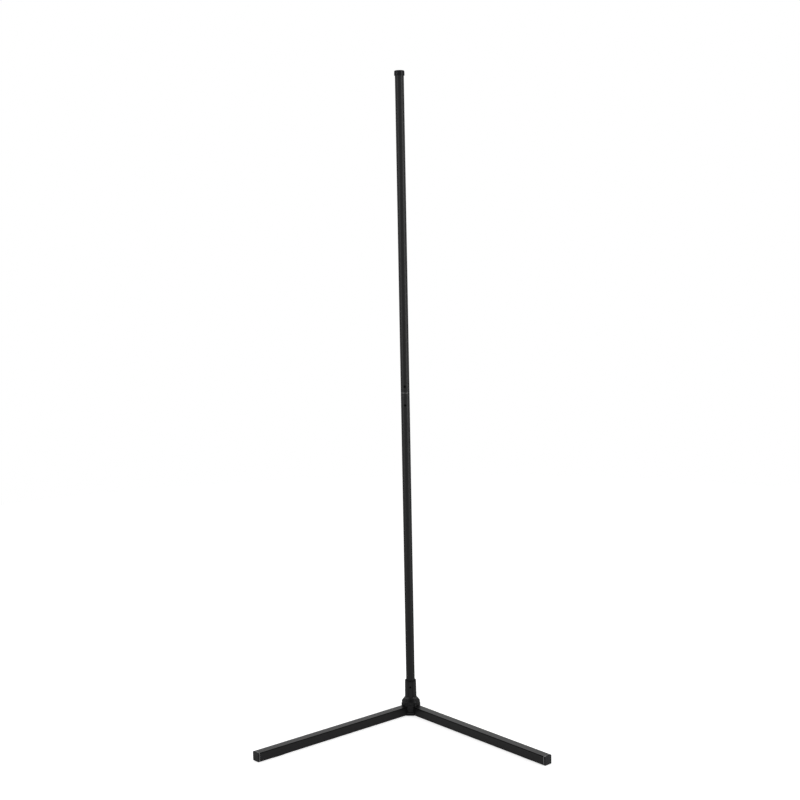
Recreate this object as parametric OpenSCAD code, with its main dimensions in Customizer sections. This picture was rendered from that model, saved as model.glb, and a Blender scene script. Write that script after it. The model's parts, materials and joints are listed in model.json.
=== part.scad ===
// Corner floor lamp: a round light pole in two sections, turning in the neck of a two-legged base.
// Millimetres, +Z up. The origin is on the floor under the pole's axis.
// The light faces +Y, into the corner, and the legs run forward on either side of -Y.

/* [Pole] */
// Outside diameter of the pole
pole_d = 19; // [18:0.5:20.5]
// Length of each of the two pole sections
section_len = 680; // [300:10:900]
// Wall of the aluminium channel
channel_wall = 1.6; // [1.2:0.1:2]
// Height of the web's back face above the pole's axis
web_rise = 1; // [0:0.2:1.4]
// Thickness of the web that carries the light strip
web_t = 1.4; // [1:0.1:1.8]
// Height of the channel's two front edges above the pole's axis
edge_rise = 4.6; // [4.2:0.1:5]
// Width of the open slot between the front edges
slot_w = 14.8; // [14:0.1:15]
// Gap between the two sections
seam_gap = 0.2; // [0.1:0.1:1]

/* [Diffuser] */
// Width of the diffuser that shows between the channel's edges
lens_w = 15.8; // [15.4:0.1:16.2]
// Wall of the diffuser's dome
lens_wall = 1.2; // [0.8:0.1:1.4]
// Thickness of the legs that clip the diffuser into the slot
lens_clip_t = 1; // [0.6:0.1:1.2]

/* [Cap] */
// Diameter of the top cap at its lower rim
cap_rim_d = 22.3; // [21.8:0.1:26]
// Diameter of the top cap under its rounded edge
cap_crown_d = 21.7; // [21.2:0.1:24]
// Height of the top cap
cap_h = 11; // [8:0.5:16]
// Thickness of the cap over the pole's end
cap_top = 2.3; // [2:0.1:4]
// Radius of the cap's rounded edge
cap_round = 1.7; // [1:0.1:1.9]
// Rise of the domed top
cap_dome = 0.5; // [0.2:0.1:1]
// Depth of the tongue that plugs into the channel
cap_tongue = 12; // [6:1:20]

/* [Joiner] */
// Length of the bar that joins the two sections
joiner_len = 90; // [70:5:140]
// Height of the upper joint screw above the seam
joint_screw_up = 13.8; // [10:0.1:30]
// Depth of the lower joint screw below the seam
joint_screw_down = 26.9; // [10:0.1:32]
// Diameter of the joint screws' heads
joint_head_d = 4; // [3.6:0.1:4.6]
// Diameter of the joint screws' threads
joint_thread_d = 3; // [2:0.5:3]

/* [Light strips] */
// Width of a light strip
strip_w = 10; // [8:1:12]
// Thickness of a light strip
strip_t = 0.4; // [0.2:0.1:0.6]
// Width and length of a light chip
chip_w = 5; // [3:0.5:5]
// Height of a light chip
chip_h = 1.6; // [1:0.1:1.8]
// Distance between light chips
chip_pitch = 33.3; // [16:0.1:50]
// Bare end of a strip before its first chip
strip_margin = 18; // [16:1:30]

/* [Seam connector] */
// Width of the plug and the socket
link_w = 8; // [6:0.5:8.5]
// Length of the plug and of the socket
link_len = 12; // [8:1:14]
// Height of the plug and the socket
link_h = 3.2; // [2.6:0.1:3.4]
// Diameter of the contact pins
link_pin_d = 0.8; // [0.5:0.1:1]

/* [Neck] */
// Diameter of the neck at its top
neck_top_d = 24.8; // [24.4:0.1:28]
// Diameter of the neck at its foot
neck_foot_d = 25.7; // [25:0.1:29]
// Height of the neck above its shoulder
neck_h = 37.5; // [30:0.5:80]
// Height of the shoulder cone
shoulder_h = 9; // [7:0.5:14]
// Diameter of the upper cup
cup_d = 40.2; // [39:0.1:41.5]
// Height of the upper cup below the shoulder
cup_h = 5.6; // [5:0.1:12]
// Depth of the socket that the pole stands in
socket_depth = 40.35; // [30:0.05:41]
// Depth from the neck's mouth to the grub screw
grub_drop = 13.7; // [9:0.1:20]
// Diameter of the grub screw
grub_d = 4; // [3:0.5:5]

/* [Neck bush] */
// Wall of the bush between the pole and the neck
bush_wall = 1.3; // [1:0.1:1.6]
// Height of the bush's collar, on top of the neck
collar_h = 2.2; // [1.5:0.1:4]
// Depth of the funnel in the collar's mouth
funnel_h = 1.8; // [0.8:0.1:2.5]

/* [Hub] */
// Diameter of the hub
hub_d = 42; // [41:0.5:48]
// Height of the hub above the legs' tops
hub_lip = 3.7; // [2.5:0.1:8]
// Thickness of the base cover
cover_t = 6.3; // [5.5:0.1:7]
// Distance from the axis to the base cover's straight front edge
cover_front = 23.4; // [22:0.1:30]
// Diameter of the wiring space in the hub
cavity_d = 23; // [20:0.5:24]
// Floor left under the wiring space
cavity_floor = 2; // [1.5:0.1:3]
// Chamfer on the hub's upper edge
hub_chamfer = 0.6; // [0.2:0.1:0.9]

/* [Legs] */
// Width and height of the square leg tubes
leg_size = 19; // [18:0.5:20]
// Wall of the leg tubes
leg_wall = 1.2; // [1:0.1:2]
// Outer corner radius of the leg tubes
leg_corner = 1.5; // [1:0.1:2]
// Distance from the pole's axis to the end of a leg tube
leg_reach = 414; // [250:2:600]
// Angle between the two legs
leg_spread = 90; // [80:1:110]
// Length of the hub's spigot in each leg
spigot_len = 45; // [40:1:80]

/* [Leg plugs] */
// Thickness of the plug's flange
plug_flange = 4; // [3:0.1:6]
// Length of the plug inside the tube
plug_insert = 16; // [10:1:30]
// Wall of the plug inside the tube
plug_wall = 1.5; // [1:0.1:2]

/* [Pads] */
// Thickness of the rubber pads that the lamp stands on
pad_t = 1.5; // [1:0.1:4]
// Diameter of the hub's pad
hub_pad_d = 26; // [16:1:28]
// Width of a leg's pad
leg_pad_w = 13; // [8:1:15]
// Length of a leg's pad
leg_pad_len = 30; // [16:1:60]
// Distance from a leg's end to its pad
leg_pad_inset = 5; // [2:1:30]

/* [Screws] */
// Radius of the circle of the socket screws and cover screws
screw_circle_r = 16.8; // [16.4:0.1:17]
// Thread diameter of the socket screws
socket_screw_d = 3; // [2.5:0.5:3]
// Head diameter of the socket screws
socket_head_d = 5.5; // [5:0.1:5.6]
// Head height of the socket screws
socket_head_h = 3; // [2:0.1:4]
// Length of a socket screw in the cup
socket_bite = 4.8; // [3:0.1:4.8]
// Thread diameter of the cover screws
cover_screw_d = 2.4; // [2:0.1:2.6]
// Head diameter of the cover screws
cover_head_d = 4.6; // [4:0.1:4.8]
// Head height of the cover screws
cover_head_h = 2; // [1.5:0.1:2.4]
// Length of a cover screw in the hub
cover_bite = 2.8; // [2:0.1:3]
// Thread diameter of the leg screws
leg_screw_d = 4; // [3:0.5:4]
// Head diameter of the leg screws
leg_head_d = 7.4; // [6:0.1:8]
// Length of a leg screw
leg_screw_len = 12; // [8:0.5:14]
// Distance from the spigot's root to the first leg screw
leg_screw_at = 13; // [10:0.5:16]
// Distance between the two screws of a leg
leg_screw_pitch = 20; // [14:0.5:22]

/* [Electrical feed] */
// Diameter of the inlet jack's hole, for a 5.5 mm barrel plug
jack_hole_d = 5.7; // [5.6:0.1:6.4]
// Diameter of the contact pins in the jack and in the pole's foot
contact_d = 2; // [1.6:0.1:2.4]
// Diameter of the jack's body
jack_d = 9.2; // [8.6:0.1:9.8]
// Diameter of the jack's flange
jack_flange_d = 11.6; // [10.8:0.1:12]
// Depth of the jack's hole
jack_depth = 10.4; // [9:0.1:11]
// Diameter of the feed plug's barrel
barrel_d = 5.5; // [5:0.1:6]
// Length of the feed plug's barrel
barrel_len = 9.5; // [7:0.5:11]
// Diameter of the control board
board_d = 25.6; // [24:0.1:26]
// Thickness of the control board
board_t = 1.6; // [1:0.1:2]
// Diameter of a wire
wire_d = 1.2; // [0.8:0.1:1.4]
// Diameter of the feed lead
lead_d = 3.6; // [2:0.1:4]

/* [Clearances] */
// Running clearance of the pole in its bush and of the turning contacts, each side
swivel_gap = 0.05; // [0.03:0.01:0.1]
// Clearance of pieces that are pushed into each other, each side
fit_gap = 0.1; // [0.05:0.01:0.15]
// Clearance of screws in their threads and of faces that are glued or soldered
seat_gap = 0.05; // [0.02:0.01:0.1]

/* [Hidden] */
$fn = 96;
// How far two solids of one piece run into each other, and how far a cut runs past the face that it opens
eps = 0.01;
over = 1;

pole_r = pole_d / 2;
bore_r = pole_r - channel_wall;
web_top = web_rise + web_t;
strip_front = web_top + strip_t;
bar_r = bore_r - fit_gap;
strip_end_gap = 2;
cap_lip_h = 0.6;
cap_lip_in = 0.3;

// The joint screws' heads are sunk in the bar and stand free of the channel
joint_head_h = 1.7;
joint_head_sink = 0.6;
joint_head_room = 0.25;
joint_bite = 5;
joint_key = 2;
joint_key_depth = 1.2;

// Heights, from the floor up
cover_top = pad_t + cover_t;
tube_mid = pad_t + leg_size / 2;
tube_top = pad_t + leg_size;
seam_z = tube_top + hub_lip;
cup_top = seam_z + cup_h;
shoulder_top = cup_top + shoulder_h;
mouth_z = shoulder_top + neck_h;
neck_rim_z = mouth_z - collar_h;
ledge_z = mouth_z - socket_depth;
grub_z = mouth_z - grub_drop;

// The pole stands on the ledge on its foot plug
foot_flange = 1.5;
foot_len = 20;
foot_z = ledge_z + swivel_gap;
lower_z = foot_z + foot_flange;
foot_top = lower_z + foot_len;
joint_z = lower_z + section_len;
upper_z = joint_z + seam_gap;
upper_top = upper_z + section_len;
lamp_h = upper_top + cap_top;
cap_base = lamp_h - cap_h;

// Neck and cup
neck_top_r = neck_top_d / 2;
neck_foot_r = neck_foot_d / 2;
cup_r = cup_d / 2;
shoulder_round = 2;
cup_round = 1.2;
bush_in_r = pole_r + swivel_gap;
bush_r = bush_in_r + bush_wall;
neck_bore_r = bush_r + fit_gap;
collar_lap = 0.15;
collar_bevel = 0.25;
collar_lip = 0.4;
collar_r = neck_top_r + collar_lap;
funnel_r = collar_r - collar_lip;
grub_sink = 0.4;
grub_tip_gap = 0.15;
grub_key_depth = 1.3;
ledge_t = 5;
ceiling_z = ledge_z - ledge_t;
cup_cavity_r = board_d / 2 + fit_gap;

// Hub
hub_r = hub_d / 2;
cavity_r = cavity_d / 2;
cavity_z = cover_top + cavity_floor;
half_leg = leg_size / 2;
leg_start = sqrt(hub_r * hub_r - half_leg * half_leg);
tube_start = leg_start + fit_gap;
tube_len = leg_reach - tube_start;
tube_bore = leg_size - 2 * leg_wall;
tube_bore_corner = max(leg_corner - leg_wall, 0.2);
spigot_w = tube_bore - 2 * fit_gap;
spigot_root = 8;
plug_bevel = 0.35;
plug_bevel_h = 0.5;

// Between the legs' front faces, the cover fills the corner up to its straight front edge
faces_meet = half_leg / sin(leg_spread / 2);
cover_half = (cover_front - faces_meet) * tan(leg_spread / 2);

// Where the screws of the hub stand, as angles about the axis
socket_screw_angles = [30, 150, 270];
cover_screw_angles = [0, 90, 180];
leg_screws_at = [for (i = [0:1]) leg_start + leg_screw_at + i * leg_screw_pitch];

// How deep the screws' heads lie, the room past their ends, and the keys in their heads
leg_screw_sink = 0.1;
cover_screw_sink = 0.3;
screw_end_gap = 0.2;
socket_key = 2.5;
socket_key_depth = 1.5;
cover_key = 2;
cover_key_depth = 1;
leg_key_depth = 1.3;

// Electrical feed
jack_z = (cover_top + seam_z) / 2;
jack_face = hub_r - 1;
jack_flange_t = 1.4;
jack_back = 2;
jack_floor_y = jack_face + jack_flange_t - jack_depth;
jack_rear_y = jack_floor_y - jack_back;
jack_pin_sink = 1.6;
jack_pin_reach = jack_depth - jack_pin_sink;
contact_r = contact_d / 2;
contact_root_r = contact_r - 0.2;
contact_tail = 1;
inlet_wire_x = 2.6;
wire_bend = 1.5;
board_z = seam_z;
board_top = board_z + board_t;
board_part_at = board_d / 2 - 3.3;
driver_size = [4, 5, 1.2];
capacitor_r = 2;
capacitor_h = 3.4;
plug_body_r = 4.9;
plug_flange_r = 6.5;
plug_flange_t = 1.35;
lead_hole_r = plug_body_r + fit_gap;
plug_shelf_z = ceiling_z - seat_gap;
plug_base_z = plug_shelf_z - plug_flange_t;
plug_top_gap = 0.15;
plug_body_top = foot_z - plug_top_gap;
barrel_r = barrel_d / 2;
barrel_top = plug_body_top + barrel_len;
barrel_end_gap = 0.5;
sleeve_wall = 1.4;
sleeve_sink = 0.5;
sleeve_back = 1;
sleeve_in_r = barrel_r + swivel_gap;
sleeve_r = sleeve_in_r + sleeve_wall;
sleeve_hole_r = sleeve_r + fit_gap;
sleeve_z = foot_z + sleeve_sink;
sleeve_back_z = barrel_top + barrel_end_gap;
sleeve_top = sleeve_back_z + sleeve_back;
feed_pin_sink = 3;
feed_pin_z = foot_z + feed_pin_sink;
barrel_bore_z = feed_pin_z - barrel_end_gap;
wire_r = wire_d / 2;
wire_y = strip_front + seat_gap + wire_r;
wire_xs = [-2, 0, 2];
strip_z = foot_top + strip_end_gap;
strip_top = upper_top - strip_end_gap;
wire_lap = 6;
wire_top = strip_z + wire_lap;

// Seam connector
link_half_gap = 1;
link_back = strip_front + seat_gap;
link_pin_reach = 6;
link_pin_y = link_back + link_h / 2;
link_pin_xs = [-2.2, 0, 2.2];
link_pin_r = link_pin_d / 2;

// ---- shared shapes ----

// Points of an arc about [cx, cy] from angle a0 to a1
function arc(cx, cy, r, a0, a1, n = 6) =
    [for (i = [0:n]) let (a = a0 + (a1 - a0) * i / n) [cx + r * cos(a), cy + r * sin(a)]];

module rounded_square(w, r) {
    square([w - 2 * r, w], center = true);
    square([w, w - 2 * r], center = true);
    for (x = [-1, 1], y = [-1, 1])
        translate([x * (w / 2 - r), y * (w / 2 - r)]) circle(r);
}

// Local +X runs out along a leg: side -1 is the left leg and 1 the right
module on_leg(side) {
    rotate([0, 0, -90 + side * leg_spread / 2]) children();
}

// A bar or tube along a leg, from one distance to another
module along_leg(from, len) {
    translate([from, 0, tube_mid]) rotate([0, 90, 0]) linear_extrude(len) children();
}

// The room that a leg tube takes beside the hub, with a clearance around it
module leg_room() {
    w = leg_size + 2 * fit_gap;
    for (side = [-1, 1])
        on_leg(side) translate([leg_start, -w / 2, pad_t - fit_gap]) cube([hub_r, w, w]);
}

// Places a piece at each of some angles on the hub's screw circle
module on_screw_circle(angles) {
    for (a = angles)
        translate([screw_circle_r * cos(a), screw_circle_r * sin(a), 0]) children();
}

// Local +Z points out of the pole's back, -Y, from the axis at height z
module out_of_back(z) {
    translate([0, 0, z]) rotate([90, 0, 0]) children();
}

// Local +Z points out of the hub's back, +Y
module out_of_inlet(y) {
    translate([0, y, jack_z]) rotate([-90, 0, 0]) children();
}

// A hexagonal key's recess, sunk into a face at z = 0 that looks up
module hex_recess(across, depth) {
    translate([0, 0, -depth]) cylinder(d = across / cos(30), h = depth + over, $fn = 6);
}

// The same in a face that looks down
module hex_recess_below(across, depth) {
    rotate([180, 0, 0]) hex_recess(across, depth);
}

// ---- the pole ----

module channel_ring() {
    difference() {
        circle(pole_r);
        circle(bore_r);
        translate([-slot_w / 2, web_top]) square([slot_w, pole_d]);
        translate([-pole_d, edge_rise]) square([2 * pole_d, pole_d]);
    }
}

module channel_section() {
    channel_ring();
    intersection() {
        circle(bore_r + channel_wall / 2);
        translate([-pole_r, web_rise]) square([pole_d, web_t]);
    }
}

// The D-shaped space behind the web
module back_space(r) {
    intersection() {
        circle(r);
        translate([-pole_r, -pole_r]) square([pole_d, pole_r + web_rise - fit_gap]);
    }
}

module lens_section() {
    clip = slot_w / 2 - fit_gap;
    difference() {
        union() {
            intersection() {
                circle(pole_r);
                translate([-lens_w / 2, edge_rise + seat_gap]) square([lens_w, pole_r]);
            }
            translate([-clip, strip_front]) square([2 * clip, edge_rise - strip_front + seat_gap + eps]);
        }
        intersection() {
            circle(pole_r - lens_wall);
            translate([-clip + lens_clip_t, -pole_r]) square([2 * (clip - lens_clip_t), pole_d]);
        }
    }
}

module joint_screw_hole(z) {
    out_of_back(z) cylinder(d = joint_head_d + 2 * joint_head_room, h = pole_d);
}

module upper_channel() {
    color("#232325") difference() {
        translate([0, 0, upper_z]) linear_extrude(section_len) channel_section();
        joint_screw_hole(joint_z + joint_screw_up);
    }
}

module lower_channel() {
    color("#232325") difference() {
        union() {
            translate([0, 0, lower_z]) linear_extrude(foot_len + seat_gap) channel_ring();
            translate([0, 0, foot_top + seat_gap])
                linear_extrude(section_len - foot_len - seat_gap) channel_section();
        }
        joint_screw_hole(joint_z - joint_screw_down);
    }
}

module upper_diffuser() {
    color("#e04fd0") translate([0, 0, upper_z]) linear_extrude(section_len) lens_section();
}

module lower_diffuser() {
    color("#58e08a") translate([0, 0, foot_top + seat_gap])
        linear_extrude(section_len - foot_len - seat_gap) lens_section();
}

module top_cap() {
    crown_r = cap_crown_d / 2;
    rim_r = cap_rim_d / 2;
    edge_r = crown_r - cap_round;
    edge_z = lamp_h - cap_dome;
    dome = [for (i = [0:6]) let (r = edge_r * i / 6) [r, lamp_h - cap_dome * pow(r / edge_r, 2)]];
    rounding = arc(edge_r, edge_z - cap_round, cap_round, 80, 0);
    color("#1b1c1f") {
        rotate_extrude() difference() {
            polygon(concat([[0, cap_base]], dome, rounding,
                           [[rim_r, cap_base + cap_lip_h], [rim_r - cap_lip_in, cap_base]]));
            translate([0, cap_base - over])
                square([pole_r + seat_gap, upper_top + seat_gap - cap_base + over]);
        }
        translate([0, 0, upper_top + seat_gap - cap_tongue])
            linear_extrude(cap_tongue + eps) back_space(bar_r);
    }
}

module joiner_bar() {
    color("#b9babd") difference() {
        translate([0, 0, joint_z - joiner_len / 2]) linear_extrude(joiner_len) back_space(bar_r);
        for (z = [joint_z + joint_screw_up, joint_z - joint_screw_down]) {
            out_of_back(z) cylinder(d = joint_thread_d + 2 * seat_gap, h = pole_d);
            out_of_back(z) translate([0, 0, bar_r - joint_head_sink])
                cylinder(d = joint_head_d + 2 * fit_gap, h = pole_d);
        }
    }
}

module joiner_screws() {
    seat = bar_r - joint_head_sink + seat_gap;
    color("#3a3a3c") for (z = [joint_z + joint_screw_up, joint_z - joint_screw_down])
        out_of_back(z) difference() {
            union() {
                translate([0, 0, seat]) cylinder(d = joint_head_d, h = joint_head_h);
                translate([0, 0, seat - joint_bite]) cylinder(d = joint_thread_d, h = joint_bite + eps);
            }
            translate([0, 0, seat + joint_head_h]) hex_recess(joint_key, joint_key_depth);
        }
}

// ---- the light strips ----

module light_strip(z0, z1) {
    translate([-strip_w / 2, web_top + seat_gap, z0]) cube([strip_w, strip_t - seat_gap, z1 - z0]);
}

module light_chips(z0, z1) {
    count = floor((z1 - z0 - 2 * strip_margin) / chip_pitch) + 1;
    for (i = [0:count - 1])
        translate([-chip_w / 2, strip_front + seat_gap / 2, z0 + strip_margin + i * chip_pitch - chip_w / 2])
            cube([chip_w, chip_h, chip_w]);
}

module lower_light_strip() {
    color("#e8e6de") light_strip(strip_z, joint_z - link_half_gap);
}

module lower_light_chips() {
    color("#f4f0c8") light_chips(strip_z, joint_z - link_half_gap);
}

module upper_light_strip() {
    color("#e8e6de") light_strip(joint_z + link_half_gap, strip_top);
}

module upper_light_chips() {
    color("#f4f0c8") light_chips(joint_z + link_half_gap, strip_top);
}

module link_body(z) {
    difference() {
        translate([-link_w / 2, link_back, z]) cube([link_w, link_h, link_len]);
        for (x = link_pin_xs)
            translate([x, link_pin_y, joint_z - link_pin_reach - link_half_gap - seat_gap])
                cylinder(r = link_pin_r + seat_gap, h = 2 * (link_pin_reach + link_half_gap + seat_gap));
    }
}

module seam_plug() {
    color("#f2f2ee") link_body(joint_z - link_half_gap - link_len);
}

module seam_socket() {
    color("#f2f2ee") link_body(joint_z + link_half_gap);
}

module seam_pins() {
    reach = link_pin_reach + link_half_gap;
    color("#c9a23c") for (x = link_pin_xs)
        translate([x, link_pin_y, joint_z - reach]) cylinder(r = link_pin_r, h = 2 * reach);
}

// ---- the pole's foot and the turning contact on its axis ----

module foot_section() {
    clip = slot_w / 2 - fit_gap;
    circle(bar_r);
    translate([-clip, 0]) square([2 * clip, edge_rise + seat_gap + eps]);
    intersection() {
        circle(pole_r);
        translate([-lens_w / 2, edge_rise + seat_gap]) square([lens_w, pole_r]);
    }
}

module pole_foot() {
    color("#1f1f21") difference() {
        union() {
            translate([0, 0, foot_z]) cylinder(r = pole_r, h = foot_flange - seat_gap);
            translate([0, 0, foot_z + foot_flange / 2])
                linear_extrude(foot_len + foot_flange / 2) foot_section();
        }
        translate([0, 0, foot_z - over])
            cylinder(r = sleeve_hole_r, h = sleeve_top + seat_gap - foot_z + over);
        for (x = wire_xs)
            translate([x, wire_y, sleeve_top]) cylinder(r = wire_r + seat_gap, h = foot_len);
    }
}

module feed_socket() {
    color("#c4c6c8") translate([0, 0, sleeve_z]) difference() {
        cylinder(r = sleeve_r, h = sleeve_top - sleeve_z);
        translate([0, 0, -over]) cylinder(r = sleeve_in_r, h = sleeve_back_z - sleeve_z + over);
        cylinder(r = contact_r + seat_gap, h = sleeve_top - sleeve_z + over);
    }
}

module feed_pin() {
    color("#c9a23c") translate([0, 0, feed_pin_z])
        cylinder(r = contact_r, h = sleeve_top - feed_pin_z);
}

module pole_wires() {
    start = sleeve_top + 2 * seat_gap;
    color("#a83232") for (x = wire_xs)
        translate([x, wire_y, start]) cylinder(r = wire_r, h = wire_top - start);
}

module feed_plug() {
    color("#1f1f21") difference() {
        union() {
            translate([0, 0, plug_base_z]) cylinder(r = plug_flange_r, h = plug_flange_t);
            translate([0, 0, plug_base_z]) cylinder(r = plug_body_r, h = plug_body_top - plug_base_z);
            translate([0, 0, plug_base_z]) cylinder(r = barrel_r, h = barrel_top - plug_base_z);
        }
        translate([0, 0, barrel_bore_z]) cylinder(r = contact_r + swivel_gap, h = barrel_len);
    }
}

module feed_lead() {
    color("#28282a") translate([0, 0, board_top + seat_gap])
        cylinder(d = lead_d, h = plug_base_z - board_top - 2 * seat_gap);
}

// ---- the neck ----

module neck_socket() {
    taper = atan2(shoulder_h, cup_r - neck_foot_r);
    lean = 90 - taper;
    inner_round = arc(neck_foot_r + shoulder_round, shoulder_top + shoulder_round * tan(lean / 2),
                      shoulder_round, 180 + lean, 180, 4);
    outer_round = arc(cup_r - cup_round, cup_top - cup_round * tan(lean / 2), cup_round, 0, lean, 4);
    color("#222224") difference() {
        rotate_extrude() polygon(concat(
            [[cup_cavity_r, seam_z + seat_gap], [cup_r, seam_z + seat_gap]],
            outer_round, inner_round,
            [[neck_top_r, neck_rim_z - seat_gap], [neck_bore_r, neck_rim_z - seat_gap],
             [neck_bore_r, ledge_z], [lead_hole_r, ledge_z],
             [lead_hole_r, ceiling_z], [cup_cavity_r, ceiling_z]]));
        out_of_back(grub_z) cylinder(d = grub_d + 2 * seat_gap, h = neck_foot_d);
        on_screw_circle(socket_screw_angles)
            translate([0, 0, seam_z - over])
                cylinder(d = socket_screw_d + 2 * seat_gap, h = over + socket_bite + 2 * screw_end_gap);
    }
}

module neck_bush() {
    color("#141415") difference() {
        rotate_extrude() polygon([
            [bush_in_r, ledge_z + seat_gap], [bush_r, ledge_z + seat_gap], [bush_r, neck_rim_z],
            [collar_r, neck_rim_z], [collar_r, mouth_z - collar_bevel], [collar_r - collar_bevel, mouth_z],
            [funnel_r, mouth_z], [bush_in_r, mouth_z - funnel_h]]);
        out_of_back(grub_z) cylinder(d = grub_d + 4 * fit_gap, h = neck_foot_d);
    }
}

module neck_grub_screw() {
    tip = pole_r + grub_tip_gap;
    head = neck_top_r - grub_sink;
    color("#2c2c2e") out_of_back(grub_z) difference() {
        translate([0, 0, tip]) cylinder(d = grub_d, h = head - tip);
        translate([0, 0, head]) hex_recess(grub_d / 2, grub_key_depth);
    }
}

module socket_screws() {
    head_z = cover_top + seat_gap;
    color("#8f9194") on_screw_circle(socket_screw_angles) translate([0, 0, head_z]) difference() {
        union() {
            cylinder(d = socket_head_d, h = socket_head_h);
            cylinder(d = socket_screw_d, h = seam_z + socket_bite - head_z);
        }
        hex_recess_below(socket_key, socket_key_depth);
    }
}

// ---- the hub and its electrics ----

module hub_base() {
    color("#1f1f21") difference() {
        union() {
            difference() {
                union() {
                    translate([0, 0, cover_top + seat_gap])
                        cylinder(r = hub_r, h = seam_z - hub_chamfer - cover_top - seat_gap);
                    translate([0, 0, seam_z - hub_chamfer])
                        cylinder(r1 = hub_r, r2 = hub_r - hub_chamfer, h = hub_chamfer);
                }
                leg_room();
            }
            for (side = [-1, 1]) on_leg(side) {
                along_leg(leg_start + fit_gap, spigot_len - fit_gap)
                    square([spigot_w, spigot_w], center = true);
                translate([leg_start - spigot_root, -spigot_w / 2, cover_top + seat_gap])
                    cube([spigot_root + over, spigot_w, tube_mid + spigot_w / 2 - cover_top - seat_gap]);
            }
        }
        translate([0, 0, cavity_z]) cylinder(r = cavity_r, h = seam_z);
        out_of_inlet(0) cylinder(d = jack_d + 2 * fit_gap, h = hub_d);
        out_of_inlet(jack_face) cylinder(d = jack_flange_d + 4 * fit_gap, h = hub_d);
        on_screw_circle(socket_screw_angles) {
            cylinder(d = socket_screw_d + 2 * fit_gap, h = seam_z + over);
            cylinder(d = socket_head_d + 2 * fit_gap, h = cover_top + socket_head_h + 2 * seat_gap);
        }
        on_screw_circle(cover_screw_angles)
            cylinder(d = cover_screw_d + 2 * seat_gap, h = cover_top + cover_bite + screw_end_gap);
        at_leg_screws() leg_screw_hole(seat_gap);
    }
}

module control_board() {
    color("#1d5a35") translate([0, 0, board_z + seat_gap / 2])
        cylinder(d = board_d, h = board_t - seat_gap / 2);
}

module board_parts() {
    color("#26262a") translate([0, 0, board_top + seat_gap]) for (side = [-1, 1]) {
        translate([side * board_part_at, 0, driver_size.z / 2]) cube(driver_size, center = true);
        translate([0, side * board_part_at, 0]) cylinder(r = capacitor_r, h = capacitor_h);
    }
}

module inlet_jack() {
    color("#18181a") difference() {
        union() {
            out_of_inlet(jack_rear_y) cylinder(d = jack_d, h = jack_face - jack_rear_y + seat_gap + eps);
            out_of_inlet(jack_face + seat_gap) cylinder(d = jack_flange_d, h = jack_flange_t);
        }
        out_of_inlet(jack_floor_y) cylinder(d = jack_hole_d, h = jack_depth + over);
        out_of_inlet(jack_rear_y - over) cylinder(r = contact_root_r + seat_gap, h = jack_depth);
    }
}

module inlet_pin() {
    color("#c9a23c") {
        out_of_inlet(jack_floor_y) cylinder(r = contact_r, h = jack_pin_reach);
        out_of_inlet(jack_rear_y - contact_tail)
            cylinder(r = contact_root_r, h = jack_back + contact_tail + eps);
    }
}

module inlet_wires() {
    bend_y = jack_rear_y - contact_tail - wire_bend;
    start_y = jack_rear_y - seat_gap;
    top = board_z - seat_gap / 2;
    color("#303034") for (side = [-1, 1]) translate([side * inlet_wire_x, 0, 0]) {
        translate([0, bend_y, jack_z]) rotate([-90, 0, 0]) cylinder(r = wire_r, h = start_y - bend_y);
        translate([0, bend_y, jack_z]) sphere(wire_r);
        translate([0, bend_y, jack_z]) cylinder(r = wire_r, h = top - jack_z);
    }
}

module base_cover() {
    color("#131314") difference() {
        translate([0, 0, pad_t]) {
            cylinder(r = hub_r, h = cover_t);
            linear_extrude(cover_t)
                polygon([[0, -faces_meet], [cover_half, -cover_front], [-cover_half, -cover_front]]);
        }
        leg_room();
        on_screw_circle(cover_screw_angles) {
            cylinder(d = cover_screw_d + 2 * fit_gap, h = cover_top + over);
            cylinder(d = cover_head_d + 2 * fit_gap, h = pad_t + cover_screw_sink + cover_head_h);
        }
    }
}

module cover_screws() {
    head_z = pad_t + cover_screw_sink - seat_gap;
    color("#8f9194") on_screw_circle(cover_screw_angles) translate([0, 0, head_z]) difference() {
        union() {
            cylinder(d = cover_head_d, h = cover_head_h);
            cylinder(d = cover_screw_d, h = cover_top + cover_bite - head_z);
        }
        hex_recess_below(cover_key, cover_key_depth);
    }
}

// ---- the legs ----

// Places a piece at the face of each leg screw's head, under the tubes
module at_leg_screws() {
    for (side = [-1, 1]) on_leg(side) for (t = leg_screws_at)
        translate([t, 0, pad_t + leg_screw_sink]) children();
}

// A countersunk screw that points up, larger all round by a clearance where it is a hole
module leg_screw_shape(grow) {
    head_r = leg_head_d / 2;
    thread_r = leg_screw_d / 2;
    cylinder(r1 = head_r + grow, r2 = thread_r + grow, h = head_r - thread_r);
    cylinder(r = thread_r + grow, h = leg_screw_len + grow);
}

// Its hole opens the face that the head is sunk in
module leg_screw_hole(grow) {
    leg_screw_shape(grow);
    translate([0, 0, -over]) cylinder(d = leg_head_d + 2 * grow, h = over + eps);
}

module leg_screws() {
    color("#8f9194") at_leg_screws() difference() {
        leg_screw_shape(0);
        hex_recess_below(socket_key, leg_key_depth);
    }
}

module leg_tube(side) {
    color("#2a2a2c") difference() {
        on_leg(side) along_leg(tube_start, tube_len) difference() {
            rounded_square(leg_size, leg_corner);
            rounded_square(tube_bore, tube_bore_corner);
        }
        at_leg_screws() leg_screw_hole(fit_gap);
    }
}

module left_leg_tube() leg_tube(-1);

module right_leg_tube() leg_tube(1);

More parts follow.
